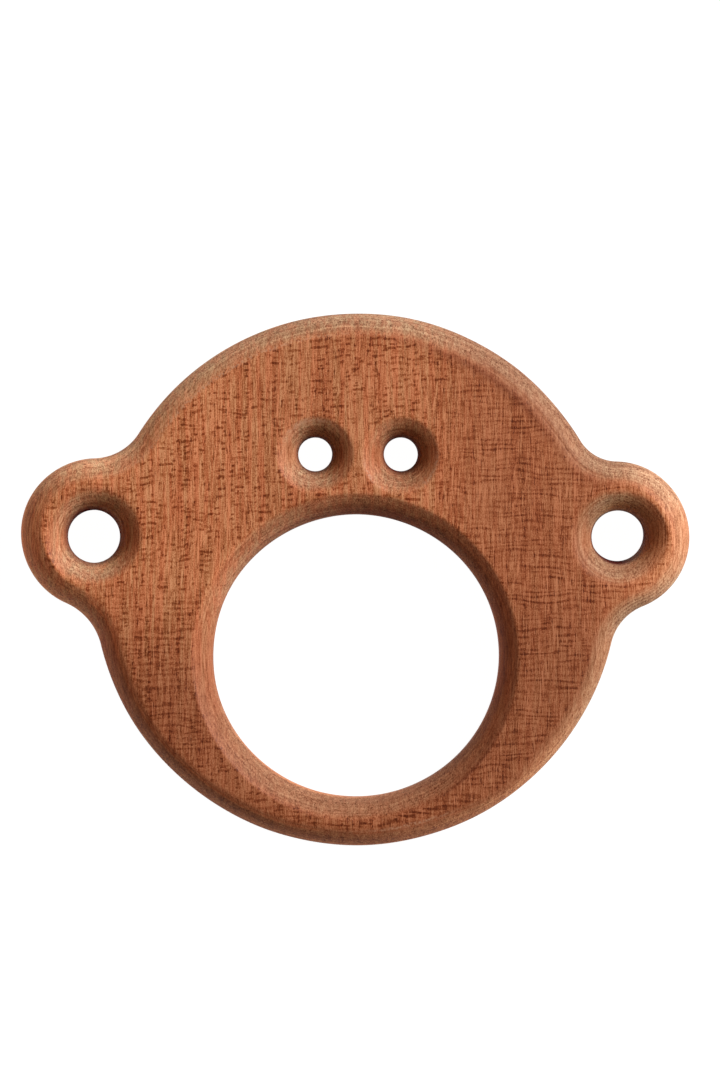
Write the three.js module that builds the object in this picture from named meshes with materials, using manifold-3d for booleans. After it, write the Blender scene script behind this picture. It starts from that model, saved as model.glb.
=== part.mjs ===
// A hand-sized wooden ring shaped as an animal's face: one board with a round head, two ears,
// two eyes and a wide mouth, all of them cut right through. Millimetres, lying on its back:
// +X is to the right of the face, +Y is the top of the head and +Z comes out of the face.
// The origin is under the middle of the overall outline, on the back face.

import Module from 'manifold-3d';
import * as THREE from 'three';
import { mergeVertices } from 'three/addons/utils/BufferGeometryUtils.js';

// Driving dimensions.
const THICKNESS = 15;

// The head is two arcs that meet out of sight behind the ears: a crown and a slightly larger jaw.
const CROWN = { x: 0.4, y: 1.15, r: 45.75 };
const JAW = { x: 0.15, y: -0.55, r: 46.35 };
const LEFT_EAR = { x: -45.65, y: 8, r: 13.35 };
const RIGHT_EAR = { x: 45.75, y: 7.5, r: 13.25 };

// Radii of the hollows where the ears run into the head.
const NECKS = { upperLeft: 9.6, upperRight: 7.7, lowerLeft: 10.8, lowerRight: 9.3 };

// Holes through the board, each with the round flare that widens it towards both faces.
// The flares were cut by eye, so each sits a little off its hole.
const HOLES = [
  { name: 'mouth', x: 0.2, y: -13.55, r: 25.3, tall: 24.95, sides: 60, flare: { x: 0.05, y: -13.6, r: 28.8 } },
  { name: 'left eye', x: -7.05, y: 22.05, r: 3, sides: 24, flare: { x: -7, y: 21.9, r: 6.85 } },
  { name: 'right eye', x: 8.1, y: 22.05, r: 3, sides: 24, flare: { x: 8, y: 21.75, r: 6.85 } },
  { name: 'left ear', x: -46.2, y: 7.55, r: 4.65, sides: 28, flare: { x: -46, y: 7.4, r: 8.5 } },
  { name: 'right ear', x: 46.4, y: 7.65, r: 4.65, sides: 28, flare: { x: 46.6, y: 7.3, r: 8.35 } },
];

// The right ear's hole was drilled out of square: degrees off the vertical, and the heading it leans to.
const RIGHT_EAR_LEAN = { angle: 3.2, heading: -85 };

// Every edge slopes down from a crease in the face, then steepens over a rounded shoulder to the wall.
const SLOPE = THREE.MathUtils.degToRad(34);
const SHOULDER_RADIUS = 4.6;

// The rim is widest at the crown and narrowest at the jaw, where a sanded facet eases its crease.
const RIM = { run: 2.7, shift: -0.4 };
const FACET = { run: 3.05, shift: -0.75, angle: THREE.MathUtils.degToRad(12) };

// Longest step of an arc of the outline, and how far a cutting solid passes what it cuts.
const ARC_STEP = THREE.MathUtils.degToRad(12);
const ARC_CHORD = 4.4;
const MARGIN = 1;

const wasm = await Module();
wasm.setup();

function material(name, colour, roughness) {
  return new THREE.MeshStandardMaterial({ name, color: colour, roughness, metalness: 0 });
}

// Where the slope's line gives way to the shoulder: one flat that touches the rounding half way round.
// The width is that of the whole edge, from the crease to the wall.
function shoulderLine(width) {
  const turn = (Math.PI / 2 - SLOPE) / 2;
  const angle = Math.PI / 2 - turn;
  const start = SHOULDER_RADIUS * (1 - Math.sin(SLOPE));
  const inset = SHOULDER_RADIUS * (1 - Math.cos(turn));
  const drop = (width - start) * Math.tan(SLOPE) + SHOULDER_RADIUS * (Math.cos(SLOPE) - Math.sin(turn));
  return { angle, run: inset + drop / Math.tan(angle) };
}

// Centre of the neck arc of radius r that touches circles a and b from outside.
// side is 1 for the neck above the line between their centres and -1 for the one below.
function neckCentre(a, b, r, side) {
  const from = new THREE.Vector2(a.x, a.y);
  const along = new THREE.Vector2(b.x, b.y).sub(from);
  const distance = along.length();
  const toA = a.r + r;
  const toB = b.r + r;
  const reach = (distance ** 2 + toA ** 2 - toB ** 2) / (2 * distance);
  const height = Math.sqrt(toA ** 2 - reach ** 2);
  along.normalize();
  const across = new THREE.Vector2(-along.y, along.x);
  if (across.y * side < 0) {
    across.negate();
  }
  from.addScaledVector(along, reach).addScaledVector(across, height);
  return { x: from.x, y: from.y, r };
}

function angleOf(centre, target) {
  return Math.atan2(target.y - centre.y, target.x - centre.x);
}

// Points of an arc from one angle to another, without its last point, which the next arc starts with.
function arcPoints(circle, from, to, clockwise) {
  const turn = 2 * Math.PI;
  const sweep = clockwise ? -THREE.MathUtils.euclideanModulo(from - to, turn)
    : THREE.MathUtils.euclideanModulo(to - from, turn);
  const steps = Math.ceil(Math.abs(sweep) * Math.max(1 / ARC_STEP, circle.r / ARC_CHORD));
  const points = [];
  for (let i = 0; i < steps; i += 1) {
    const angle = from + (sweep * i) / steps;
    points.push(new THREE.Vector2(circle.x + circle.r * Math.cos(angle), circle.y + circle.r * Math.sin(angle)));
  }
  return points;
}

// The outline, anticlockwise: four bulging arcs with a neck between each two of them.
function outline() {
  const bulges = [CROWN, LEFT_EAR, JAW, RIGHT_EAR];
  const necks = [
    neckCentre(CROWN, LEFT_EAR, NECKS.upperLeft, 1),
    neckCentre(JAW, LEFT_EAR, NECKS.lowerLeft, -1),
    neckCentre(JAW, RIGHT_EAR, NECKS.lowerRight, -1),
    neckCentre(CROWN, RIGHT_EAR, NECKS.upperRight, 1),
  ];
  return bulges.flatMap((bulge, i) => {
    const before = necks[(i + 3) % 4];
    const after = necks[i];
    const next = bulges[(i + 1) % 4];
    return [
      ...arcPoints(bulge, angleOf(bulge, before), angleOf(bulge, after), false),
      ...arcPoints(after, angleOf(after, bulge), angleOf(after, next), true),
    ];
  });
}

// A geometry as a solid for the boolean library.
function solid(geometry) {
  const bare = geometry.clone();
  bare.deleteAttribute('normal');
  bare.deleteAttribute('uv');
  const merged = mergeVertices(bare, 1e-4);
  return new wasm.Manifold(new wasm.Mesh({
    numProp: 3,
    vertProperties: new Float32Array(merged.attributes.position.array),
    triVerts: new Uint32Array(merged.index.array),
  }));
}

function geometryOf(body) {
  const mesh = body.getMesh();
  const geometry = new THREE.BufferGeometry();
  geometry.setAttribute('position', new THREE.BufferAttribute(mesh.vertProperties, 3));
  geometry.setIndex(new THREE.BufferAttribute(mesh.triVerts, 1));
  geometry.computeVertexNormals();
  return geometry;
}

// The outline extruded, its sides sloping in at an angle so that they meet the faces at this inset.
function slopedBoard(run, angle, shift) {
  const fall = (run + MARGIN) * Math.tan(angle);
  const geometry = new THREE.ExtrudeGeometry(new THREE.Shape(outline()), {
    depth: THICKNESS - 2 * fall,
    bevelSize: run + MARGIN,
    bevelOffset: -run,
    bevelThickness: fall,
    bevelSegments: 1,
    steps: 1,
  });
  return solid(geometry.translate(0, shift, fall));
}

// The whole board without its holes: straight walls, then the three sloping cuts round both rims.
function board() {
  const walls = new THREE.ExtrudeGeometry(new THREE.Shape(outline()), {
    depth: THICKNESS + 2 * MARGIN,
    bevelEnabled: false,
    steps: 1,
  }).translate(0, 0, -MARGIN);
  const shoulder = shoulderLine(RIM.run);
  const shoulderShift = (RIM.shift * Math.tan(SLOPE)) / Math.tan(shoulder.angle);
  return solid(walls)
    .intersect(slopedBoard(FACET.run, FACET.angle, FACET.shift))
    .intersect(slopedBoard(RIM.run, SLOPE, RIM.shift))
    .intersect(slopedBoard(shoulder.run, shoulder.angle, shoulderShift));
}

// What the flare on the front face takes out, from just above the face to inside the hole's own wall.
function flareCutter(hole) {
  const width = hole.flare.r - hole.r;
  const shoulder = shoulderLine(width);
  const steep = Math.tan(shoulder.angle);
  const bend = (width * Math.tan(SLOPE) - shoulder.run * steep) / (Math.tan(SLOPE) - steep);
  const bendDrop = (width - bend) * Math.tan(SLOPE);
  const end = -MARGIN / 2;
  const profile = [
    new THREE.Vector2(0, THICKNESS - (shoulder.run - end) * steep),
    new THREE.Vector2(hole.r + end, THICKNESS - (shoulder.run - end) * steep),
    new THREE.Vector2(hole.r + bend, THICKNESS - bendDrop),
    new THREE.Vector2(hole.flare.r + MARGIN / Math.tan(SLOPE), THICKNESS + MARGIN),
    new THREE.Vector2(0, THICKNESS + MARGIN),
  ];
  const cutter = new THREE.LatheGeometry(profile, hole.sides).rotateX(Math.PI / 2);
  return cutter.translate(hole.flare.x, hole.flare.y, 0);
}

// The straight hole, a little longer than the board is thick.
function boreCutter(hole, lean) {
  const bore = new THREE.CylinderGeometry(hole.r, hole.r, THICKNESS + 2 * MARGIN, hole.sides);
  bore.rotateX(Math.PI / 2).scale(1, (hole.tall ?? hole.r) / hole.r, 1);
  const heading = THREE.MathUtils.degToRad(lean.heading);
  const hinge = new THREE.Vector3(-Math.sin(heading), Math.cos(heading), 0);
  const tilt = new THREE.Quaternion().setFromAxisAngle(hinge, THREE.MathUtils.degToRad(lean.angle));
  return bore.applyQuaternion(tilt).translate(hole.x, hole.y, THICKNESS / 2);
}

// The same cutter for the back face.
function turnedOver(geometry) {
  const other = geometry.clone().scale(1, 1, -1).translate(0, 0, THICKNESS);
  const { index } = other;
  for (let i = 0; i < index.count; i += 3) {
    const kept = index.getX(i);
    index.setX(i, index.getX(i + 1));
    index.setX(i + 1, kept);
  }
  return other;
}

function cutHole(body, hole) {
  const lean = hole.name === 'right ear' ? RIGHT_EAR_LEAN : { angle: 0, heading: 0 };
  const flare = flareCutter(hole);
  return body
    .subtract(solid(boreCutter(hole, lean)))
    .subtract(solid(flare))
    .subtract(solid(turnedOver(flare)));
}

function facePlate() {
  const body = HOLES.reduce(cutHole, board());
  const mesh = new THREE.Mesh(geometryOf(body), material('oiled_wood', 0xa5663f, 0.55));
  mesh.name = 'face_plate';
  return mesh;
}

const group = new THREE.Group();
group.add(facePlate());

export default group;
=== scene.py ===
"""A one-piece wooden ring cut as an animal's face, lying on its back under soft studio light.

The CAD node is one faceted solid. Here it is replaced by a fine mesh of the same outline and holes,
with soft creases and hand-sanded edges, in a quarter-sawn hardwood whose grain runs along Y.
Lengths are in millimetres until the mesh is made, and in metres from there on.
"""

import math

import bpy
import numpy as np
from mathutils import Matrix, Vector, noise
from mathutils.geometry import delaunay_2d_cdt


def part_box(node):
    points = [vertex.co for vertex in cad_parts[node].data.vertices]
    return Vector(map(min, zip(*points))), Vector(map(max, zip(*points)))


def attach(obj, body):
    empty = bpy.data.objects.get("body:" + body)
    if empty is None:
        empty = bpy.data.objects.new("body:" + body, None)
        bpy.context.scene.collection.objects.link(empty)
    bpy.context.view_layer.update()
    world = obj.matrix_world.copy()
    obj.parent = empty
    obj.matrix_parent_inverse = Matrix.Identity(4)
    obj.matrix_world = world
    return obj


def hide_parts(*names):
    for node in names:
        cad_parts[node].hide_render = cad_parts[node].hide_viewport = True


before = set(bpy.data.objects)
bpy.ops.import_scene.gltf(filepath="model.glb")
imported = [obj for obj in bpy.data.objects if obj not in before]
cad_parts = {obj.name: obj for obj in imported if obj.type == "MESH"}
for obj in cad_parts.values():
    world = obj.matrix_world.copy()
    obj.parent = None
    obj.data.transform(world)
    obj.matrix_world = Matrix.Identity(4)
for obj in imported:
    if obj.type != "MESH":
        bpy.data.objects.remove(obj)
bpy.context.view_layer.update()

MM = 0.001

# ---------------------------------------------------------------- driving dimensions, in millimetres

PLATE = "face_plate"
LOW, HIGH = (Vector(corner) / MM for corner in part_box(PLATE))
THICKNESS = HIGH.z - LOW.z

# The same arcs and holes as in the CAD node: x, y, radius.
CROWN = (0.4, 1.15, 45.75)
JAW = (0.15, -0.55, 46.35)
LEFT_EAR = (-45.65, 8.0, 13.35)
RIGHT_EAR = (45.75, 7.5, 13.25)
NECKS = {"upper_left": 9.6, "upper_right": 7.7, "lower_left": 10.8, "lower_right": 9.3}

# An edge slopes down from a crease in the face and rounds over into the wall: round is the share of
# its width that the rounding takes.
MOUTH_BEVEL = {"slope": 35.0, "round": 0.6}
EYE_BEVEL = {"slope": 31.0, "round": 0.72}
EAR_BEVEL = {"slope": 27.0, "round": 0.8}
RIM_BEVEL = {"slope": 23.0, "round": 0.8}

# Where an edge slopes more steeply: the feature's number (0 is the rim), middle angle, spread and by how
# many degrees.
STEEPER = [
    {"on": 0, "angle": 225, "spread": 48, "by": 10},
    {"on": 4, "angle": 30, "spread": 55, "by": 6},
    {"on": 5, "angle": 30, "spread": 45, "by": 4},
]

# at and r are the hole's own, flare the circle of its crease, crease the radius that softens it, and
# the last number how far its slope is paled, partly by the wear of hands and partly as painted light.
HOLES = [
    {"at": (0.2, -13.55), "r": (25.3, 24.95), "flare": (0.05, -13.6, 28.8), "crease": 1.2,
     "wear_and_light": 0.07, "bevel": MOUTH_BEVEL, "points": 400},
    {"at": (-7.05, 22.05), "r": (3.0, 3.0), "flare": (-7.0, 21.9, 6.85), "crease": 1.4,
     "wear_and_light": 0.33, "bevel": EYE_BEVEL, "points": 96},
    {"at": (8.1, 22.05), "r": (3.0, 3.0), "flare": (8.0, 21.75, 6.85), "crease": 1.4,
     "wear_and_light": 0.1, "bevel": EYE_BEVEL, "points": 96},
    {"at": (-46.2, 7.55), "r": (4.65, 4.65), "flare": (-46.0, 7.4, 8.5), "crease": 1.6,
     "wear_and_light": 0.32, "bevel": EAR_BEVEL, "points": 192},
    {"at": (46.4, 7.65), "r": (4.65, 4.65), "flare": (46.6, 7.3, 8.35), "crease": 5.0,
     "wear_and_light": 0.45, "bevel": EAR_BEVEL, "points": 192, "lean": 3.2, "towards": -85},
]

# The rim: its width at the sides, what the crown gains and the jaw loses, and where sanding by hand
# made it narrower or wider.
RIM_WIDTH = 3.42
RIM_GAIN = 0.5
RIM_DENTS = [
    {"angle": -56, "spread": 9, "by": -0.8},
    {"angle": -27, "spread": 14, "by": -0.4},
    {"angle": 8, "spread": 12, "by": -0.15},
    {"angle": 181, "spread": 13, "by": 0.7},
]

# The radius that softens the rim's crease: crisp about one angle, soft elsewhere.
RIM_CREASE = {"crisp": 0.8, "soft": 5.0, "angle": 108, "spread": 42}

# Where an edge is paled further, partly by the wear of hands and partly as painted light on sides that
# face the lamp: the feature's number (0 is the rim), middle angle, spread and amount.
WEAR_AND_PAINTED_LIGHT = [
    {"on": 0, "angle": -8, "spread": 42, "by": 0.8},
    {"on": 0, "angle": 135, "spread": 32, "by": 0.42},
    {"on": 0, "angle": 90, "spread": 20, "by": 0.2},
    {"on": 0, "angle": 55, "spread": 28, "by": 0.3},
    {"on": 5, "angle": 110, "spread": 45, "by": 0.6},
]

# Painted shade and light on edges: darker towards the wall as painted shade, or paler where the amount
# is below 0 as painted light: middle angle, spread, amount, and the share of the edge's width over which
# it fades out. The last four go all round a hole, as painted shade inside it.
ALL_ROUND = 1e6
PAINTED_SHADING = [
    {"on": 0, "angle": 52, "spread": 34, "by": 0.24, "over": 1.5},
    {"on": 0, "angle": 145, "spread": 32, "by": -0.16, "over": 1.3},
    {"on": 0, "angle": 175, "spread": 14, "by": -0.12, "over": 1.4},
    {"on": 0, "angle": 240, "spread": 30, "by": -0.12, "over": 0.6},
    {"on": 0, "angle": 306, "spread": 26, "by": -0.75, "over": 0.8},
    {"on": 1, "angle": 0, "spread": 45, "by": -0.16, "over": 1.2},
    # painted shade under the mouth's top edge
    {"on": 1, "angle": 72, "spread": 42, "by": 0.62, "over": 0.85},
    # painted highlight along the mouth's lower-left wall
    {"on": 1, "angle": 248, "spread": 34, "by": -0.9, "over": 0.06},
    {"on": 2, "angle": 255, "spread": 30, "by": 0.16, "over": 1.2},
    {"on": 2, "angle": 315, "spread": 30, "by": -0.35, "over": 0.6},
    {"on": 3, "angle": 235, "spread": 50, "by": 0.2, "over": 1.2},
    {"on": 3, "angle": 268, "spread": 30, "by": 0.12, "over": 1.2},
    {"on": 4, "angle": 100, "spread": 45, "by": 0.3, "over": 0.7},
    {"on": 4, "angle": 300, "spread": 35, "by": -0.4, "over": 0.6},
    {"on": 5, "angle": 105, "spread": 35, "by": -0.6, "over": 0.5},
    {"on": 5, "angle": 270, "spread": 30, "by": 0.14, "over": 1.0},
    {"on": 5, "angle": 318, "spread": 30, "by": -0.4, "over": 0.5},
    # painted shade inside the eye and ear holes
    {"on": 2, "angle": 0, "spread": ALL_ROUND, "by": 0.7, "over": 0.2},
    {"on": 3, "angle": 0, "spread": ALL_ROUND, "by": 0.7, "over": 0.2},
    {"on": 4, "angle": 0, "spread": ALL_ROUND, "by": 0.7, "over": 0.2},
    {"on": 5, "angle": 0, "spread": ALL_ROUND, "by": 0.85, "over": 0.1},
]

# Painted shadow lines along creases: middle angle, spread, share of the way from the wall to the flat
# face, width in the same measure and amount.
CREASE_SHADOW_LINES = [
    {"on": 0, "angle": 56, "spread": 26, "at": 0.94, "wide": 0.13, "by": 0.34},
    {"on": 1, "angle": 320, "spread": 26, "at": 0.9, "wide": 0.08, "by": 0.5},
    {"on": 1, "angle": 326, "spread": 15, "at": 0.66, "wide": 0.07, "by": 0.3},
    {"on": 4, "angle": 75, "spread": 55, "at": 0.93, "wide": 0.07, "by": 0.3},
    {"on": 5, "angle": 25, "spread": 40, "at": 0.9, "wide": 0.12, "by": 0.3},
]

# Pale scuffs along creases: middle angle, spread, distance outside the crease and width.
SCUFFS = [
    {"on": 0, "angle": 122, "spread": 30, "off": 0.35, "wide": 0.3},
    {"on": 0, "angle": -77, "spread": 9, "off": 0.3, "wide": 0.25},
    {"on": 2, "angle": 110, "spread": 50, "off": 0.7, "wide": 0.5},
    {"on": 3, "angle": -40, "spread": 35, "off": 0.4, "wide": 0.35},
    {"on": 3, "angle": -140, "spread": 30, "off": 0.3, "wide": 0.3},
]

# Half the height of a hole's wall, over which a leaning hole moves off its place at mid-thickness.
HALF_WALL = 3.6

# How far the hand strays: the wall's line, the width of the rim's and of a hole's edge, the length over
# which it does, and the radius below which a hole's wall strays less. The seeds are for its noises.
HAND = {"wall": 0.05, "rim_width": 0.16, "hole_width": 0.112, "length": 14.0, "full_radius": 10.0}
WALL_SEED = 2.5
WIDTH_SEED = 5.5

# A crease's rounding takes up to this share of the gap to the nearest other crease, less a clearance.
CREASE_ROOM = {"share": 0.42, "clearance": 0.02, "least": 0.05}

# How fine the mesh is: the outline's steps and the face's grid in millimetres, and the steps across
# each stretch of an edge.
OUTLINE_STEP = 0.35
FACE_GRID = 1.3
SHOULDER_STEPS = 8
SLOPE_STEPS = 4
CREASE_STEPS = 8
WALL_STEPS = 4


# ---------------------------------------------------------------- outline

def neck(a, b, r, side):
    """The arc of radius r that touches circles a and b from outside, above (1) or below (-1) them."""
    start, end = Vector(a[:2]), Vector(b[:2])
    along = end - start
    distance = along.length
    to_a, to_b = a[2] + r, b[2] + r
    reach = (distance**2 + to_a**2 - to_b**2) / (2 * distance)
    height = math.sqrt(to_a**2 - reach**2)
    along.normalize()
    across = Vector((-along.y, along.x))
    if across.y * side < 0:
        across.negate()
    centre = start + along * reach + across * height
    return (centre.x, centre.y, r)


def arc(circle, before, after, bulge):
    """Points and inward normals of an arc that runs between its neighbours' centres."""
    x, y, r = circle
    first = math.atan2(before[1] - y, before[0] - x)
    last = math.atan2(after[1] - y, after[0] - x)
    turn = 2 * math.pi
    sweep = (last - first) % turn if bulge else -((first - last) % turn)
    steps = max(2, round(abs(sweep) * r / OUTLINE_STEP))
    angles = first + sweep * np.arange(steps) / steps
    away = np.stack([np.cos(angles), np.sin(angles)], axis=1)
    return np.array([x, y]) + r * away, -away if bulge else away


def outline():
    """The whole outline, anticlockwise: four bulging arcs with a neck between each two."""
    bulges = [CROWN, LEFT_EAR, JAW, RIGHT_EAR]
    necks = [
        neck(CROWN, LEFT_EAR, NECKS["upper_left"], 1),
        neck(JAW, LEFT_EAR, NECKS["lower_left"], -1),
        neck(JAW, RIGHT_EAR, NECKS["lower_right"], -1),
        neck(CROWN, RIGHT_EAR, NECKS["upper_right"], 1),
    ]
    arcs = []
    for i, bulge in enumerate(bulges):
        arcs.append(arc(bulge, necks[i - 1], necks[i], True))
        arcs.append(arc(necks[i], bulge, bulges[(i + 1) % 4], False))
    points, inward = zip(*arcs)
    return np.concatenate(points), np.concatenate(inward)


def stray(points, seed):
    """A smooth random number from about -1 to 1 at each point."""
    scaled = points / HAND["length"]
    return 2 * np.array([noise.noise(Vector((x, y, seed))) for x, y in scaled])


def bump(angles, middle, spread):
    """1 at the middle angle, falling smoothly towards 0 beyond the spread, which is in degrees."""
    away = (np.degrees(angles) - middle + 180) % 360 - 180
    return np.exp(-((away / spread) ** 2))


# ---------------------------------------------------------------- contours

def rim_contour(side):
    """One face's side of the outline: wall points, inward normals, edge widths, crease radii.

    side is 1 for the front face and -1 for the back.
    """
    points, inward = outline()
    angles = np.arctan2(points[:, 1], points[:, 0])
    width = RIM_WIDTH - RIM_GAIN * inward[:, 1]
    for dent in RIM_DENTS:
        width += dent["by"] * bump(angles, dent["angle"], dent["spread"])
    width += HAND["rim_width"] * stray(points, side + WIDTH_SEED)
    crispness = bump(angles, RIM_CREASE["angle"], RIM_CREASE["spread"])
    crease = RIM_CREASE["soft"] + (RIM_CREASE["crisp"] - RIM_CREASE["soft"]) * crispness
    walls = points + inward * (HAND["wall"] * stray(points, WALL_SEED))[:, None]
    return walls, inward, width, crease


def hole_contour(hole, side):
    """The same for a hole, clockwise, with normals that point away from its flare's centre."""
    angles = -2 * math.pi * np.arange(hole["points"]) / hole["points"]
    around = np.stack([np.cos(angles), np.sin(angles)], axis=1)
    heading = math.radians(hole.get("towards", 0))
    lean = side * HALF_WALL * math.tan(math.radians(hole.get("lean", 0)))
    centre = np.array(hole["at"]) + lean * np.array([math.cos(heading), math.sin(heading)])
    walls = centre + np.array(hole["r"]) * around
    steadiness = min(1, hole["r"][0] / HAND["full_radius"])
    walls += around * (HAND["wall"] * stray(walls, WALL_SEED) * steadiness)[:, None]
    x, y, r = hole["flare"]
    away = walls - (x, y)
    reach = np.hypot(*away.T)
    width = r - reach + HAND["hole_width"] * stray(walls, side + WIDTH_SEED)
    return walls, away / reach[:, None], width, np.full(len(walls), hole["crease"])


def bevel_of(number, angles):
    """An edge's slope at each of these angles, and the share of its width that it rounds over."""
    bevel = RIM_BEVEL if number == 0 else HOLES[number - 1]["bevel"]
    slope = np.full_like(angles, bevel["slope"])
    for steeper in STEEPER:
        if steeper["on"] == number:
            slope += steeper["by"] * bump(angles, steeper["angle"], steeper["spread"])
    return np.radians(slope), bevel["round"]


def angles_of(number, walls):
    """The angle of each point of a contour about the middle of its feature."""
    x, y = (0.0, 0.0) if number == 0 else HOLES[number - 1]["at"]
    return np.arctan2(walls[:, 1] - y, walls[:, 0] - x)


def limit_creases(contours):
    """Keep each crease's rounding clear of the nearest other crease."""
    creases = [walls + inward * width[:, None] for walls, inward, width, _ in contours]
    limited = []
    for i, (walls, inward, width, crease) in enumerate(contours):
        others = np.concatenate([c for k, c in enumerate(creases) if k != i])
        gap = np.array([np.min(np.hypot(*(others - p).T)) for p in creases[i]])
        slope, _ = bevel_of(i, angles_of(i, walls))
        setback = np.maximum(CREASE_ROOM["share"] * gap - CREASE_ROOM["clearance"], CREASE_ROOM["least"])
        room = setback / np.tan(slope / 2)
        limited.append((walls, inward, width, np.minimum(crease, room)))
    return limited


# ---------------------------------------------------------------- edge section

def section(slope, rounding, width, crease):
    """Insets and drops of an edge from its wall to just inside its crease, one row per point."""
    radius = rounding * width / (1 - np.sin(slope))
    straight = (1 - rounding) * width
    crease = np.minimum(crease, straight / np.cos(slope) / np.tan(slope / 2))
    columns = []
    depth = straight * np.tan(slope) + radius * np.cos(slope)
    for i in range(SHOULDER_STEPS + 1):
        turn = (math.pi / 2 - slope) * i / SHOULDER_STEPS
        columns.append((radius * (1 - np.cos(turn)), depth - radius * np.sin(turn)))
    setback = crease * np.tan(slope / 2)
    low = columns[-1]
    high = (width - setback * np.cos(slope), setback * np.sin(slope))
    for i in range(1, SLOPE_STEPS):
        t = i / SLOPE_STEPS
        columns.append((low[0] + (high[0] - low[0]) * t, low[1] + (high[1] - low[1]) * t))
    for i in range(CREASE_STEPS + 1):
        turn = slope * (1 - i / CREASE_STEPS)
        columns.append((width + setback - crease * np.sin(turn), crease * (1 - np.cos(turn))))
    insets, drops = (np.stack(c, axis=1) for c in zip(*columns))
    return insets, drops, insets / (width + setback)[:, None]


def scuffs_on(number, angles, insets, width):
    """How scuffed each point of an edge is, from 0 to 1."""
    total = np.zeros_like(insets)
    for scuff in SCUFFS:
        if scuff["on"] == number:
            along = bump(angles, scuff["angle"], scuff["spread"])
            across = (insets - width[:, None] + scuff["off"]) / scuff["wide"]
            total = np.maximum(total, along[:, None] * np.exp(-across**2))
    return total


# ---------------------------------------------------------------- mesh

def wear_and_light_at(number, angles):
    """How far an edge is paled at each of these angles, from 0 to 1, partly by wear and partly as painted
    light.
    """
    wear_and_light = np.full_like(angles, 0.0 if number == 0 else HOLES[number - 1]["wear_and_light"])
    for paling in WEAR_AND_PAINTED_LIGHT:
        if paling["on"] == number:
            wear_and_light += paling["by"] * bump(angles, paling["angle"], paling["spread"])
    return np.clip(wear_and_light, 0, 1)


def painted_shading_at(number, angles, share):
    """How much painted shade each point of an edge has, from 0 to 1, with painted light where it is below
    0 and painted shadow lines along creases.
    """
    painted_shading = np.zeros_like(share)
    for shading_mark in PAINTED_SHADING:
        if shading_mark["on"] == number:
            t = np.clip(1 - share / shading_mark["over"], 0, 1)
            along = shading_mark["by"] * bump(angles, shading_mark["angle"], shading_mark["spread"])
            painted_shading += along[:, None] * t * t * (3 - 2 * t)
    for line in CREASE_SHADOW_LINES:
        if line["on"] == number:
            along = line["by"] * bump(angles, line["angle"], line["spread"])
            painted_shading += along[:, None] * np.exp(-(((share - line["at"]) / line["wide"]) ** 2))
    return painted_shading


def rings_of(number, contour_pair):
    """Rings from the back face's crease round the wall to the front face's crease.

    Each row is one point: x, y, z, its share of the way from wall to face, how scuffed it is, its
    painted shade and light, and how far it is paled, partly by wear and partly as painted light.
    """
    sides = []
    for side, (walls, inward, width, crease) in zip((1, -1), contour_pair):
        angles = angles_of(number, walls)
        insets, drops, share = section(*bevel_of(number, angles), width, crease)
        flat = walls[:, None, :] + inward[:, None, :] * insets[:, :, None]
        height = THICKNESS - drops if side > 0 else drops
        scuff = scuffs_on(number, angles, insets, width)
        wear_and_light = np.broadcast_to(wear_and_light_at(number, angles)[:, None], share.shape)
        painted_shading = painted_shading_at(number, angles, share)
        sides.append(np.dstack([flat, height, share, scuff, painted_shading, wear_and_light]))
    front, back = sides
    rings = [back[:, k] for k in range(back.shape[1] - 1, -1, -1)]
    for i in range(1, WALL_STEPS):
        rings.append(rings[-1] + (front[:, 0] - rings[-1]) / (WALL_STEPS + 1 - i))
    return rings + [front[:, k] for k in range(front.shape[1])]


def inside(points, loop):
    """Which points lie inside a closed loop, by counting crossings."""
    x, y = points[:, :1], points[:, 1:]
    x0, y0 = loop[:, 0], loop[:, 1]
    x1, y1 = np.roll(x0, -1), np.roll(y0, -1)
    spans = (y0 > y) != (y1 > y)
    with np.errstate(divide="ignore", invalid="ignore"):
        cross = x0 + (y - y0) * (x1 - x0) / (y1 - y0)
    return (np.sum(spans & (x < cross), axis=1) % 2).astype(bool)


def on_face(points, loops):
    """Which points lie on the flat face: inside the first loop and outside the others."""
    kept = inside(points, loops[0])
    for loop in loops[1:]:
        kept &= ~inside(points, loop)
    return kept


def face_grid(loops):
    """Points of a triangular grid on the flat face, clear of its edges."""
    low, high = loops[0].min(axis=0), loops[0].max(axis=0)
    rows = np.arange(low[1], high[1], FACE_GRID * math.sqrt(3) / 2)
    columns = np.arange(low[0], high[0], FACE_GRID)
    grid = np.array([(x + (i % 2) * FACE_GRID / 2, y) for i, y in enumerate(rows) for x in columns])
    grid = grid[on_face(grid, loops)]
    edge = np.concatenate(loops)
    nearest = np.array([np.min(np.hypot(*(edge - p).T)) for p in grid])
    return grid[nearest > FACE_GRID / 2]


def triangulate(loops, loop_ids, grid, first_grid_id):
    """Triangles of a flat face between its loops, as vertex numbers of the whole mesh."""
    coords = np.concatenate([*loops, grid])
    ids = np.concatenate([*loop_ids, first_grid_id + np.arange(len(grid))])
    edges, start = [], 0
    for loop in loops:
        count = len(loop)
        edges += [(start + i, start + (i + 1) % count) for i in range(count)]
        start += count
    made = delaunay_2d_cdt([Vector(c) for c in coords], edges, [], 0, 1e-6)
    verts, faces, origins = made[0], made[2], made[3]
    flat = np.array(verts)
    triangles = np.array([list(f) for f in faces])
    centres = flat[triangles].mean(axis=1)
    lookup = np.array([ids[o[0]] for o in origins])
    return lookup[triangles[on_face(centres, loops)]]


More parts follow.
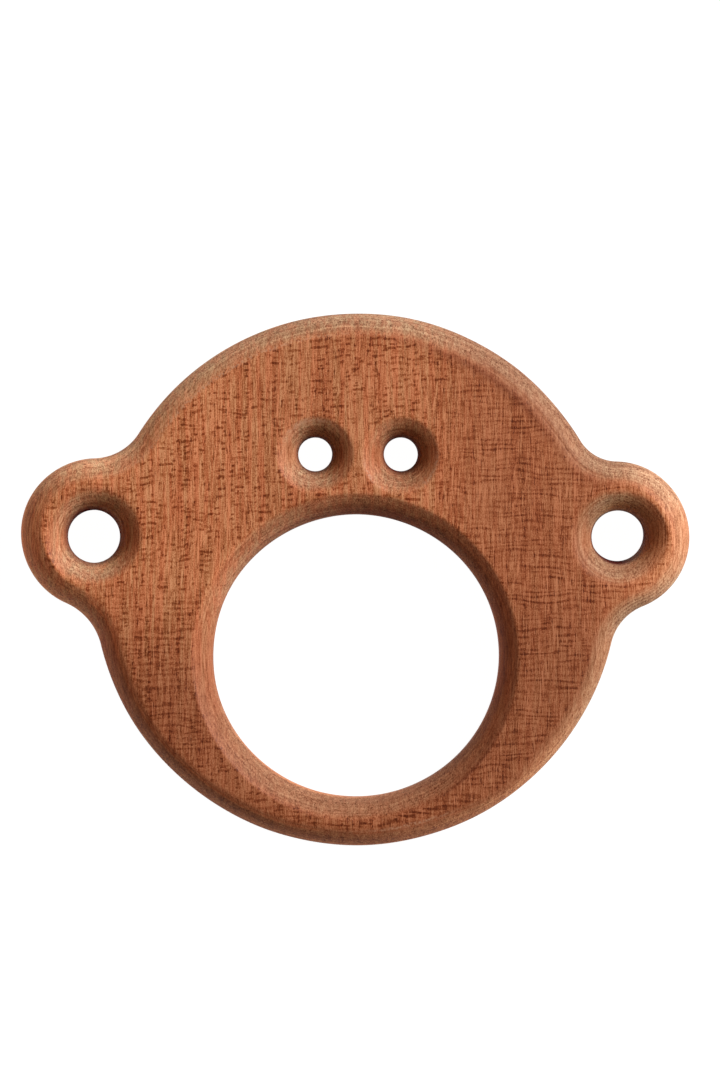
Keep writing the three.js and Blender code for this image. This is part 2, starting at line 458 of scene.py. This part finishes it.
def build_plate():
    """The whole plate: one row per point, as rings_of gives them, and the faces."""
    fronts = limit_creases([rim_contour(1), *(hole_contour(hole, 1) for hole in HOLES)])
    backs = limit_creases([rim_contour(-1), *(hole_contour(hole, -1) for hole in HOLES)])
    rows, faces = [], []
    count = 0
    front_loops, back_loops, front_ids, back_ids = [], [], [], []
    for number, pair in enumerate(zip(fronts, backs)):
        rings = rings_of(number, pair)
        rows += rings
        n = len(rings[0])
        step = np.arange(n)
        following = (step + 1) % n
        for k in range(1, len(rings)):
            a = count + (k - 1) * n
            b = a + n
            faces += np.stack([a + step, a + following, b + following, b + step], axis=1).tolist()
        back_ids.append(count + step)
        front_ids.append(count + (len(rings) - 1) * n + step)
        back_loops.append(rings[0][:, :2])
        front_loops.append(rings[-1][:, :2])
        count += len(rings) * n
    for loops, ids, level, flip in (
        (front_loops, front_ids, THICKNESS, False),
        (back_loops, back_ids, 0.0, True),
    ):
        grid = face_grid(loops)
        triangles = triangulate(loops, ids, grid, count)
        rows.append(np.column_stack([grid, np.tile([level, 1.0, 0.0, 0.0, 0.0], (len(grid), 1))]))
        count += len(grid)
        faces += (triangles[:, ::-1] if flip else triangles).tolist()
    return np.concatenate(rows), faces


def make_plate():
    rows, faces = build_plate()
    mesh = bpy.data.meshes.new("wooden_face")
    mesh.from_pydata((rows[:, :3] * MM).tolist(), [], faces)
    for name, column in (("face_share", 3), ("scuff", 4), ("painted_shading", 5), ("wear_and_light", 6)):
        attribute = mesh.attributes.new(name, "FLOAT", "POINT")
        attribute.data.foreach_set("value", rows[:, column].astype(np.float32))
    mesh.shade_smooth()
    mesh.update()
    plate = bpy.data.objects.new("wooden_face", mesh)
    bpy.context.scene.collection.objects.link(plate)
    return plate


# ---------------------------------------------------------------- wood

# The noises of the wood. size is a blob's, in millimetres across the grain, along it and through the
# board. detail and roughness are those of the noise.
TEXTURES = {
    "bands": {"size": (5.5, 60, 7), "seed": 1.3},
    "columns": {"size": (1.5, 16, 2.0), "seed": 7.7},
    "streaks": {"size": (0.62, 18, 0.9), "seed": 5.2, "roughness": 0.6},
    "fibres": {"size": (0.18, 3.8, 0.24), "seed": 2.7, "roughness": 0.65},
    "grit": {"size": (0.19, 0.24, 0.19), "seed": 6.6, "detail": 1.0},
}

# The same, with how far each moves something: bend and wobble the grain, sway the dashes and waves the
# rows, all in millimetres. drift and stagger move the rows by shares of their gap, and tool_drift the
# tool lines by shares of theirs.
SWINGS = {
    "bend": {"size": (11, 42, 11), "seed": 3.1, "reach": 1.1},
    "wobble": {"size": (1.6, 9, 1.6), "seed": 8.4, "reach": 0.08},
    "sway": {"size": (4, 5, 6), "seed": 4.4, "reach": 0.7},
    "waves": {"size": (9, 10, 6), "seed": 2.2, "detail": 1.0, "reach": 0.9},
    "drift": {"size": (10, 2.6, 6), "seed": 3.3, "detail": 1.0, "reach": 1.3},
    "stagger": {"size": (3.0, 1.6, 1.5), "seed": 13.9, "detail": 0.0, "reach": 0.2},
    "tool_drift": {"size": (9, 9, 9), "seed": 17.2, "reach": 1.6},
}

# The same, with the step that turns each into spots: the noise values between which it rises, and what
# it rises from and to where that isn't 0 and 1. fade, patch and cut say where the rows are strong.
SPOTS = {
    "pores": {"size": (0.24, 1.7, 0.3), "seed": 9.5, "detail": 1.0, "step": (0.60, 0.74)},
    "pale": {"size": (0.22, 3.4, 0.3), "seed": 12.4, "detail": 1.0, "step": (0.56, 0.72)},
    "gold": {"size": (0.9, 22, 1.5), "seed": 15.1, "roughness": 0.65, "step": (0.36, 0.64)},
    "dots": {"size": (0.34, 0.4, 0.34), "seed": 21.3, "detail": 0.0, "step": (0.69, 0.75)},
    "fade": {"size": (3.8, 1.0, 2.0), "seed": 9.1, "detail": 1.0, "step": (0.36, 0.58, 0.22, 1.0)},
    "patch": {"size": (7.0, 3.0, 5.0), "seed": 18.6, "detail": 1.0, "step": (0.4, 0.6, 0.6, 1.3)},
    "cut": {"size": (0.28, 2.6, 0.5), "seed": 4.1, "detail": 1.0, "step": (0.68, 0.46, 0.45, 1.0)},
    "scuff_breaks": {"size": (0.5, 0.5, 0.5), "seed": 7.1, "step": (0.42, 0.6)},
}

# The dashes that rays make: most of the board has short ones, with longer ones among them. The columns
# are the values of that noise between which dashes appear. A dash is there where its cell's random
# number is low enough, and fades out over the outer share of its length and height.
SHORT_DASHES = {"cell": (1.3, 1.05, 0.4), "half_length": (0.22, 0.5), "half_height": 0.27, "tilt": 0.14,
                "order": 0.45, "seed": 1.9}
LONG_DASHES = {"cell": (3.4, 1.5, 0.5), "half_length": (0.2, 0.5), "half_height": 0.2, "tilt": 0.05,
               "order": 0.2, "seed": 6.1}
SHORT_COLUMNS = (0.38, 0.54)
LONG_COLUMNS = (0.36, 0.5)
DASH_CHANCE = (0.72, 0.62)
DASH_ENDS = (1.0, 0.7)
DASH_SIDES = (1.0, 0.4)
FAINTEST_DASH = 0.4

# Distance between the rows of rays on the right, where the cut is truest to the quarter, and a row's
# darkness from its edges to its middle, by the share of the gap that a point is off the row.
ROW_GAP = 1.0
ROW = (0.36, 0.06, 0.0, 0.72)

# Where the wood changes: the x or y, in millimetres, between which each change is made, and what it
# rises from and to where that isn't 0 and 1.
RIGHT_X = (9, 24)
JAW_Y = (-37, -41)
LOW_LEFT_X = (-22, -30, 0.0, 0.9)
LOW_LEFT_Y = (2, -8)
PALE_X = (4, 22, 1.0, 1.7)
RUDDY_Y = (-4, -24)
TAN_X = (44, 55, 0.0, 0.3)

# What that does: the shares that it takes from short and long dashes and from golden bands, the share
# that it adds to long dashes along the jaw, and how strong the rows are there.
FEWER_SHORT = -0.75
FEWER_LONG = -0.6
LESS_GOLD = -0.65
MORE_LONG = 0.5
JAW_ROWS = 1.4

# How light the board is, as changes of the same kind on a base: on the left, on the right as far as the
# ear, and below the eyes.
BASE_SHADE = 0.99
LEFT_SHADE_X = (-10, -28)
LEFT_SHADE_Y = (8, -22, 0.14, -0.03)
RIGHT_SHADE_X = (10, 26)
RIGHT_SHADE_Y = (-4, -26, -0.21, -0.07)
RIGHT_EAR_X = (56, 40)
RIGHT_EAR_SHADE = 0.2
BELOW_SHADE_Y = (2, -24, 0.0, -0.25)

# How the layers add up to a tone for a ramp, from 0 (darkest) to 1: noises swing it, marks add to it.
FACE_TONE = {
    "start": 0.67,
    "swings": {"bands": 0.2, "streaks": 0.4, "fibres": 0.8, "grit": 0.6},
    "marks": {"pores": -0.4, "pale": 0.3, "rays": -0.55},
}
EDGE_TONE = {
    "start": 0.54,
    "swings": {"grit": 0.45, "fibres": 0.75, "streaks": 0.45, "lines": 0.55},
    "marks": {"pores": -0.2, "dots": -0.15},
}
END_GRAIN_DOTS = 2.0

# The same for the height of the surface, and what a height of 1 is in millimetres.
HEIGHT = {
    "start": 0.0,
    "swings": {},
    "marks": {"fibres": 0.6, "grit": 0.6, "pores": -0.5, "cut_lines": 1.2},
}
BUMP_DEPTH = 0.03

# How many tool lines there are across an edge, from its wall to the flat face, and how slowly they
# change along it.
EDGE_LINES = 13.0
LINE_PACE = 0.06
TOOL_LINES = {"size": (1.0, 1.0, 1.0), "roughness": 0.7}

# Colours of the wood, linear, by tone: the face's, those of edges along the grain and of end grain.
FACE_COLOURS = {0.0: (0.125, 0.021, 0.003, 1), 0.28: (0.250, 0.057, 0.015, 1),
                0.56: (0.395, 0.118, 0.042, 1), 1.0: (0.62, 0.245, 0.115, 1)}
SIDE_COLOURS = {0.0: (0.205, 0.048, 0.016, 1), 0.5: (0.395, 0.122, 0.052, 1), 1.0: (0.57, 0.213, 0.104, 1)}
END_COLOURS = {0.0: (0.150, 0.046, 0.020, 1), 0.5: (0.370, 0.147, 0.073, 1), 1.0: (0.60, 0.292, 0.155, 1)}

# Tints that multiply them. An edge is painted redder where it turns away from the light, as painted
# shade, and paler where it faces it, as painted light. The painted shade and painted light tints are what
# an amount of 1 adds to a tint of white.
WHITE = (1, 1, 1, 1)
SHADED_TINT = (1.0, 0.85, 0.70, 1)
LIT_TINT = (1.02, 1.12, 1.19, 1)
RUDDY_TINT = (1.03, 0.91, 0.86, 1)
GOLDEN_TINT = (0.98, 1.08, 1.06, 1)
PALE_TAN_TINT = (1.1, 1.67, 1.98, 1)
PAINTED_SHADE_TINT = (-0.82, -1.0, -1.0)
PAINTED_LIGHT_TINT = (1.2, 1.0, 0.7)
SCUFF_COLOUR = (0.56, 0.29, 0.17, 1)
SCUFF_AMOUNT = 0.7

# The light comes from the upper right: an edge's tilt in x and y counts so far towards it.
TO_LIGHT = (0.85, 0.53)
SHADED_TILT = (0.1, -0.55)
LIT_TILT = (0.1, 0.55)

# Shares of the way from the wall to the flat face between which the edge's colours give way to the
# face's, and between which its rays come in. End grain shows by how far an edge turns to +Y or -Y.
SLOPING = (0.98, 0.6, 0.0, 0.92)
FLAT = (0.72, 0.98)
EDGE_RAYS = 0.1
END_GRAIN_TILT = (0.1, 0.65)

# Gloss of the face, and how edges and painted shade and light change it. Roughness has the shares of the
# way between which it eases and its values at the wall and on the face, and fibres and rays change it.
FACE_SPECULAR = 0.2
EDGE_SPECULAR = -0.13
PAINTED_SHADING_SPECULAR = -0.08
ROUGHNESS = (0.02, 0.3, 0.72, 0.53)
FIBRE_ROUGHNESS = 0.15
RAY_ROUGHNESS = -0.06


# ---------------------------------------------------------------- nodes

# How far a seed moves a noise along each axis.
SEED_STEP = (1.0, 1.7, 0.6)


class Graph:
    """One material's nodes, written as calls: each adds a node and returns its output."""

    def __init__(self, name):
        self.material = bpy.data.materials.new(name)
        self.material.use_nodes = True
        self.tree = self.material.node_tree
        self.shader = self.tree.nodes["Principled BSDF"]

    def feed(self, socket, value):
        if isinstance(value, bpy.types.NodeSocket):
            self.tree.links.new(value, socket)
        else:
            socket.default_value = value

    def node(self, kind, inputs, output=0, **settings):
        made = self.tree.nodes.new("ShaderNode" + kind)
        for name, value in settings.items():
            setattr(made, name, value)
        for key, value in inputs.items():
            self.feed(made.inputs[key], value)
        return made.outputs[output]

    def math(self, operation, *values):
        return self.node("Math", dict(enumerate(values)), operation=operation)

    def vector(self, operation, *values):
        return self.node("VectorMath", dict(enumerate(values)), operation=operation)

    def ease(self, value, start, end, low=0.0, high=1.0):
        """A smooth step from low at start to high at end."""
        inputs = {"Value": value, "From Min": start, "From Max": end, "To Min": low, "To Max": high}
        return self.node("MapRange", inputs, interpolation_type="SMOOTHSTEP")

    def stretched(self, point, size, seed=0.0):
        """A point measured in blobs of this size."""
        scale = tuple(1 / s for s in size)
        return self.vector("MULTIPLY_ADD", point, scale, tuple(seed * s for s in SEED_STEP))

    def noise(self, point, size, seed=0.0, detail=2.0, roughness=0.5):
        inputs = {"Vector": self.stretched(point, size, seed), "Scale": 1.0}
        return self.node("TexNoise", {**inputs, "Detail": detail, "Roughness": roughness})

    def around_zero(self, value, reach):
        """A noise of 0 to 1 as one of about -reach to reach."""
        return self.math("MULTIPLY_ADD", value, 2 * reach, -reach)

    def swing(self, point, reach, **blobs):
        return self.around_zero(self.noise(point, **blobs), reach)

    def spots(self, point, step, **blobs):
        return self.ease(self.noise(point, **blobs), *step)

    def changed(self, share, by):
        """1 where share is 0, and 1 plus this where it is 1."""
        return self.math("MULTIPLY_ADD", share, by, 1.0)

    def times(self, *values):
        product = values[0]
        for value in values[1:]:
            product = self.math("MULTIPLY", product, value)
        return product

    def attribute(self, name):
        """One of the numbers that make_plate stores at each point of the mesh."""
        return self.node("Attribute", {}, output=2, attribute_name=name)

    def tinted(self, colour, tint):
        return self.mix(1.0, colour, tint, "MULTIPLY")

    def split(self, vector):
        node = self.tree.nodes.new("ShaderNodeSeparateXYZ")
        self.feed(node.inputs[0], vector)
        return tuple(node.outputs)

    def ramp(self, value, colours):
        """A colour for each value, blended between the stated ones."""
        made = self.tree.nodes.new("ShaderNodeValToRGB")
        elements = made.color_ramp.elements
        elements.remove(elements[1])
        for position, colour in colours.items():
            element = elements[0] if position == 0 else elements.new(position)
            element.color = colour
        self.feed(made.inputs[0], value)
        return made.outputs[0]

    def grey(self, value):
        return self.node("CombineColor", {0: value, 1: value, 2: value})

    def mix(self, share, a, b, blend="MIX"):
        return self.node("Mix", {0: share, 6: a, 7: b}, output=2, data_type="RGBA", blend_type=blend)


# ---------------------------------------------------------------- material

def dashes(g, point, cell, half_length, half_height, tilt, order, seed):
    """Short level dashes, at most one to a cell: up to 1 in a dash and 0 outside.

    cell is in millimetres, the halves of a dash's length and height are shares of it, tilt is how
    steeply dashes rise and order how evenly they are spaced, from 0 to 1.
    """
    local = g.stretched(point, cell, seed)
    cells = g.tree.nodes.new("ShaderNodeTexVoronoi")
    g.feed(cells.inputs["Vector"], local)
    g.feed(cells.inputs["Scale"], 1.0)
    g.feed(cells.inputs["Randomness"], 1 - order)
    away_x, away_y, _ = g.split(g.vector("SUBTRACT", local, cells.outputs["Position"]))
    chance, longer, darker = g.split(cells.outputs["Color"])
    reach = g.math("MULTIPLY_ADD", longer, half_length[1] - half_length[0], half_length[0])
    along = g.math("DIVIDE", g.math("ABSOLUTE", away_x), reach)
    rise = g.math("MULTIPLY_ADD", away_x, -tilt * cell[0] / cell[1], away_y)
    across = g.math("DIVIDE", g.math("ABSOLUTE", rise), half_height)
    body = g.times(g.ease(along, *DASH_ENDS), g.ease(across, *DASH_SIDES))
    present = g.ease(chance, *DASH_CHANCE)
    strength = g.math("MULTIPLY_ADD", darker, 1 - FAINTEST_DASH, FAINTEST_DASH)
    return g.times(body, present, strength)


def wood_layers(g, place):
    """The wood's layers: broad bands, streaks, pores and rays, each a socket of its own."""
    bend = g.math("ADD", g.swing(place, **SWINGS["bend"]), g.swing(place, **SWINGS["wobble"]))
    grain = g.vector("ADD", place, g.node("CombineXYZ", {0: bend}))
    x, y, _ = g.split(place)
    to_right = g.ease(x, *RIGHT_X)
    jaw = g.ease(y, *JAW_Y)

    layers = {name: g.noise(grain, **TEXTURES[name]) for name in ("bands", "streaks", "fibres")}
    layers["grit"] = g.noise(place, **TEXTURES["grit"])
    layers["pores"] = g.spots(grain, **SPOTS["pores"])
    layers["pale"] = g.times(g.spots(grain, **SPOTS["pale"]), g.ease(x, *PALE_X))
    layers["dots"] = g.spots(place, **SPOTS["dots"])
    ruddy = g.math("MAXIMUM", to_right, g.ease(y, *RUDDY_Y))
    layers["gold"] = g.times(g.spots(grain, **SPOTS["gold"]), g.changed(ruddy, LESS_GOLD))
    layers["rays"] = g.math("MAXIMUM", dashed_rays(g, grain, place, to_right, jaw),
                            rows_of_rays(g, grain, place, to_right, jaw))
    return layers


def dashed_rays(g, grain, place, to_right, jaw):
    """Short dashes with longer ones among them: fewer on the right, and longer ones along the jaw."""
    sway = g.swing(place, **SWINGS["sway"])
    level = g.vector("ADD", grain, g.node("CombineXYZ", {1: sway}))
    columns = g.noise(grain, **TEXTURES["columns"])
    short = g.times(dashes(g, level, **SHORT_DASHES), g.ease(columns, *SHORT_COLUMNS))
    short = g.times(short, g.changed(to_right, FEWER_SHORT))
    longer = g.times(dashes(g, level, **LONG_DASHES), g.ease(columns, *LONG_COLUMNS))
    longer = g.times(longer, g.changed(to_right, FEWER_LONG), g.changed(jaw, MORE_LONG))
    return g.math("MAXIMUM", short, longer)


def rows_of_rays(g, grain, place, to_right, jaw):
    """Long wavy rows, across the right of the board, along the jaw and at the lower left."""
    x, y, _ = g.split(place)
    waves = g.swing(place, **SWINGS["waves"])
    _, wavy_y, _ = g.split(g.vector("ADD", grain, g.node("CombineXYZ", {1: waves})))
    phase = g.math("MULTIPLY_ADD", wavy_y, 1 / ROW_GAP, g.swing(place, **SWINGS["drift"]))
    phase = g.math("ADD", phase, g.swing(place, **SWINGS["stagger"]))
    rows = g.ease(g.math("PINGPONG", phase, 0.5), *ROW)
    fade = g.times(g.spots(place, **SPOTS["fade"]), g.spots(place, **SPOTS["patch"]))
    rows = g.times(rows, g.spots(grain, **SPOTS["cut"]), fade)
    low_left = g.times(g.ease(x, *LOW_LEFT_X), g.ease(y, *LOW_LEFT_Y))
    elsewhere = g.math("MAXIMUM", low_left, g.times(jaw, JAW_ROWS))
    return g.times(rows, g.math("MAXIMUM", to_right, elsewhere))


def tool_lines(g, place, share):
    """Fine lines that the cutter left along every edge."""
    drift = g.swing(place, **SWINGS["tool_drift"])
    across = g.node("CombineXYZ", {0: g.math("MULTIPLY_ADD", share, EDGE_LINES, drift)})
    slow = g.vector("MULTIPLY_ADD", place, (LINE_PACE, LINE_PACE, LINE_PACE), across)
    return g.noise(slow, **TOOL_LINES)


def shade_of(g, x, y):
    """How light the board is from place to place: pale on the left and at the right ear, dark below."""
    left = g.times(g.ease(x, *LEFT_SHADE_X), g.ease(y, *LEFT_SHADE_Y))
    inner = g.ease(y, *RIGHT_SHADE_Y)
    right = g.times(g.ease(x, *RIGHT_SHADE_X), g.ease(x, *RIGHT_EAR_X, RIGHT_EAR_SHADE, inner))
    below = g.ease(y, *BELOW_SHADE_Y)
    return g.math("ADD", g.math("ADD", BASE_SHADE, left), g.math("ADD", right, below))


def add_up(g, layers, tone):
    """One value from the layers: a start, noises that swing about it, and marks."""
    total = tone["start"]
    for name, reach in tone["swings"].items():
        total = g.math("ADD", total, g.around_zero(layers[name], reach))
    for name, amount in tone["marks"].items():
        total = g.math("MULTIPLY_ADD", layers[name], amount, total)
    return total


def edge_colour(g, layers, facing, wear_and_light):
    """Colour of the sloping cuts and walls, with painted shade where they turn from the light, painted
    light where they face it, and paler where wear and painted light pale them.
    """
    facing_x, facing_y, _ = g.split(facing)
    towards_light = g.math("ADD", g.times(facing_x, TO_LIGHT[0]), g.times(facing_y, TO_LIGHT[1]))
    end_grain = g.ease(g.math("ABSOLUTE", facing_y), *END_GRAIN_TILT)
    dots = g.times(layers["dots"], g.changed(end_grain, END_GRAIN_DOTS))
    tone = add_up(g, {**layers, "dots": dots}, EDGE_TONE)
    colour = g.mix(end_grain, g.ramp(tone, SIDE_COLOURS), g.ramp(tone, END_COLOURS))
    colour = g.tinted(colour, g.mix(wear_and_light, WHITE, PALE_TAN_TINT))
    colour = g.tinted(colour, g.mix(g.ease(towards_light, *SHADED_TILT), WHITE, SHADED_TINT))
    return g.tinted(colour, g.mix(g.ease(towards_light, *LIT_TILT), WHITE, LIT_TINT))


def painted_shading_tint(g, painted_shading):
    """The tint of painted shade, and of painted light, a paler stretch, where the amount is below 0."""
    darker = g.math("MAXIMUM", painted_shading, 0.0)
    paler = g.math("MAXIMUM", g.times(painted_shading, -1.0), 0.0)
    tint = g.vector("MULTIPLY_ADD", g.grey(darker), PAINTED_SHADE_TINT, WHITE[:3])
    return g.vector("MULTIPLY_ADD", g.grey(paler), PAINTED_LIGHT_TINT, tint)


def oiled_wood():
    g = Graph("oiled_wood")
    place = g.vector("SCALE", g.node("TexCoord", {}, output=3))
    place.node.inputs["Scale"].default_value = 1 / MM
    x, y, _ = g.split(place)
    share = g.attribute("face_share")
    painted_shading = g.attribute("painted_shading")
    flat = g.ease(share, *FLAT)
    sloping = g.ease(share, *SLOPING)

    layers = wood_layers(g, place)
    layers["lines"] = tool_lines(g, place, share)
    layers["cut_lines"] = g.times(layers["lines"], g.math("SUBTRACT", 1.0, flat))
    layers["rays"] = g.times(layers["rays"], g.math("MULTIPLY_ADD", flat, 1 - EDGE_RAYS, EDGE_RAYS))

    face = g.ramp(add_up(g, layers, FACE_TONE), FACE_COLOURS)
    edge = edge_colour(g, layers, g.node("TexCoord", {}, output=1), g.attribute("wear_and_light"))
    colour = g.tinted(g.mix(sloping, face, edge), g.mix(layers["gold"], RUDDY_TINT, GOLDEN_TINT))
    tan = g.tinted(colour, g.mix(g.ease(x, *TAN_X), WHITE, PALE_TAN_TINT))
    colour = g.tinted(g.mix(flat, colour, tan), painted_shading_tint(g, painted_shading))
    colour = g.tinted(colour, g.grey(shade_of(g, x, y)))
    scuffed = g.times(g.attribute("scuff"), g.spots(place, **SPOTS["scuff_breaks"]), SCUFF_AMOUNT)
    g.feed(g.shader.inputs["Base Color"], g.mix(scuffed, colour, SCUFF_COLOUR))

    gloss = g.math("MULTIPLY_ADD", sloping, EDGE_SPECULAR, FACE_SPECULAR)
    g.feed(g.shader.inputs["Specular IOR Level"], g.math("MULTIPLY_ADD", painted_shading, PAINTED_SHADING_SPECULAR, gloss))
    rough = g.math("ADD", g.ease(share, *ROUGHNESS), g.around_zero(layers["fibres"], FIBRE_ROUGHNESS))
    g.feed(g.shader.inputs["Roughness"], g.math("MULTIPLY_ADD", layers["rays"], RAY_ROUGHNESS, rough))
    height = add_up(g, layers, HEIGHT)
    bump = g.node("Bump", {"Height": height, "Strength": 1.0, "Distance": BUMP_DEPTH * MM})
    g.feed(g.shader.inputs["Normal"], bump)
    return g.material


# ---------------------------------------------------------------- stage

# The floor: its radius and how high its edge curls up, in metres, the share of it that is flat, how many
# rings and sides it has, and its material.
FLOOR = {"radius": 3.0, "lip": 0.35, "flat": 0.7, "rings": 8, "sides": 96, "grey": 0.12, "glow": 0.99,
         "roughness": 0.9, "specular": 0.1}

# The camera, in metres: its height over the face, the width that it sees there, the point it is above
# and how far it sees. tall is the height of its picture over the width, and the sensor is in millimetres.
CAMERA = {"height": 1.2, "sees": 0.12657, "above": (0.00088, 0.0069), "clip": 20, "tall": 1.5,
          "sensor": 36}

# The lamp: the way to it, its distance and diameter in metres and its power in watts; and the room's
# own light.
KEY = {"towards": (1.26, 0.79, 1.0), "distance": 1.3, "size": 0.75, "power": 25}
ROOM = {"colour": (1.0, 0.94, 0.89, 1), "strength": 0.16}


def floor_material():
    """A pale grey with a glow of its own, so that it stays even and white."""
    made = bpy.data.materials.new("floor_white")
    made.use_nodes = True
    inputs = made.node_tree.nodes["Principled BSDF"].inputs
    inputs["Base Color"].default_value = (FLOOR["grey"], FLOOR["grey"], FLOOR["grey"], 1)
    inputs["Roughness"].default_value = FLOOR["roughness"]
    inputs["Specular IOR Level"].default_value = FLOOR["specular"]
    inputs["Emission Color"].default_value = WHITE
    inputs["Emission Strength"].default_value = FLOOR["glow"]
    return made


def make_floor():
    """A wide round floor whose edge curves up, so that low views see no horizon."""
    sides = FLOOR["sides"]
    verts = [(0.0, 0.0, 0.0)]
    for ring in range(FLOOR["rings"] + 1):
        t = ring / FLOOR["rings"]
        radius = FLOOR["radius"] * (FLOOR["flat"] + (1 - FLOOR["flat"]) * t)
        for side in range(sides):
            angle = 2 * math.pi * side / sides
            verts.append((radius * math.cos(angle), radius * math.sin(angle), FLOOR["lip"] * t * t))
    faces = []
    for side in range(sides):
        after = (side + 1) % sides
        faces.append((0, 1 + side, 1 + after))
        for ring in range(FLOOR["rings"]):
            inner = 1 + ring * sides
            outer = inner + sides
            faces.append((inner + side, outer + side, outer + after, inner + after))
    mesh = bpy.data.meshes.new("floor")
    mesh.from_pydata(verts, [], faces)
    mesh.shade_smooth()
    mesh.materials.append(floor_material())
    floor = bpy.data.objects.new("floor", mesh)
    bpy.context.scene.collection.objects.link(floor)
    return floor


def make_camera():
    """Straight above the face, far enough off for the walls of the holes to stay nearly hidden."""
    data = bpy.data.cameras.new("camera")
    data.sensor_width = CAMERA["sensor"]
    data.lens = CAMERA["sensor"] * CAMERA["height"] / (CAMERA["sees"] * CAMERA["tall"])
    data.clip_end = CAMERA["clip"]
    camera = bpy.data.objects.new("camera", data)
    camera.location = (*CAMERA["above"], THICKNESS * MM + CAMERA["height"])
    bpy.context.scene.collection.objects.link(camera)
    bpy.context.scene.camera = camera


def make_lamp():
    data = bpy.data.lights.new("key", "AREA")
    data.shape = "DISK"
    data.size = KEY["size"]
    data.energy = KEY["power"]
    lamp = bpy.data.objects.new("key", data)
    towards = Vector(KEY["towards"]).normalized()
    lamp.location = towards * KEY["distance"]
    lamp.rotation_mode = "QUATERNION"
    lamp.rotation_quaternion = towards.to_track_quat("Z", "Y")
    bpy.context.scene.collection.objects.link(lamp)


def make_world():
    world = bpy.data.worlds.new("studio")
    world.use_nodes = True
    background = world.node_tree.nodes["Background"]
    background.inputs["Color"].default_value = ROOM["colour"]
    background.inputs["Strength"].default_value = ROOM["strength"]
    bpy.context.scene.world = world


make_camera()
make_world()
make_lamp()
bpy.context.scene.view_settings.view_transform = "Standard"
make_floor()

plate = make_plate()
plate.data.materials.append(oiled_wood())
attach(plate, "root")
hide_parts(PLATE)
